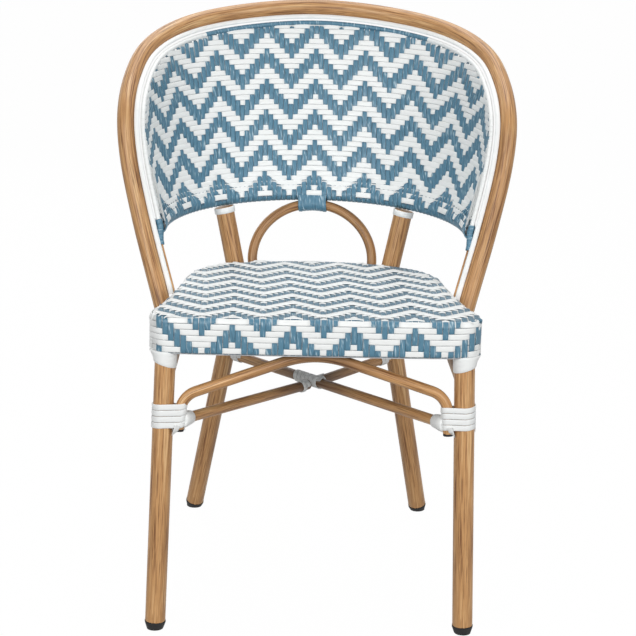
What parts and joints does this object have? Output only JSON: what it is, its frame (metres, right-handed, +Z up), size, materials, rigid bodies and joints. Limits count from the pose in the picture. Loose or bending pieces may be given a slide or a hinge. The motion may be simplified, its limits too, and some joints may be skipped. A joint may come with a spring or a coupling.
{
  "type": "bistro chair",
  "caption": "Stacking bistro side chair of bent tube with a wood look, a woven barrel back and a D-shaped woven seat, bound joints and a crossed stretcher.",
  "frame": {"origin": "centre of the bounding box's bottom face, on the floor", "axes": "+Z up; +Y towards the back of the chair; +X to the right as seen from the front"},
  "size_m": [0.5906, 0.5696, 0.8475],
  "materials": {
    "woodgrain_tube": "satin transfer print with wood grain",
    "bare_aluminium": "satin",
    "woven_strand": "semi-gloss",
    "blue_strand": "semi-gloss",
    "white_strand": "semi-gloss",
    "grey_strand": "semi-gloss",
    "black_plastic": "matt"
  },
  "bodies": {
    "root": {"back_hoop": "woodgrain_tube", "back_inner_rod": "woodgrain_tube", "back_rail": "woodgrain_tube", "back_arch": "woodgrain_tube", "rear_cross_rail": "woodgrain_tube", "front_brace": "woodgrain_tube", "stretcher_long": "woodgrain_tube", "stretcher_short_front": "woodgrain_tube", "stretcher_short_rear": "woodgrain_tube", "front_leg_right": "woodgrain_tube", "front_leg_left": "woodgrain_tube", "rear_leg_right": "woodgrain_tube", "rear_leg_left": "woodgrain_tube", "seat_frame": "bare_aluminium", "seat_cross_rail_front": "bare_aluminium", "seat_cross_rail_rear": "bare_aluminium", "hoop_lug_right": "bare_aluminium", "hoop_lug_left": "bare_aluminium", "back_panel": "woven_strand", "seat_panel": "woven_strand", "arch_binding": "blue_strand", "hoop_piping": "white_strand", "lashing_front_right": "white_strand", "lashing_front_left": "white_strand", "lashing_rear_left": "white_strand", "lashing_rear_right": "white_strand", "stretcher_sleeve_right": "white_strand", "stretcher_sleeve_left": "white_strand", "leg_collar_right": "white_strand", "leg_collar_left": "white_strand", "post_collar_right": "white_strand", "post_collar_left": "white_strand", "lashing_centre_long": "grey_strand", "lashing_centre_short_front": "grey_strand", "lashing_centre_short_rear": "grey_strand", "foot_front_right": "black_plastic", "foot_front_left": "black_plastic", "foot_rear_right": "black_plastic", "foot_rear_left": "black_plastic", "brace_plug_right": "black_plastic", "brace_plug_left": "black_plastic"}
  },
  "joints": []
}
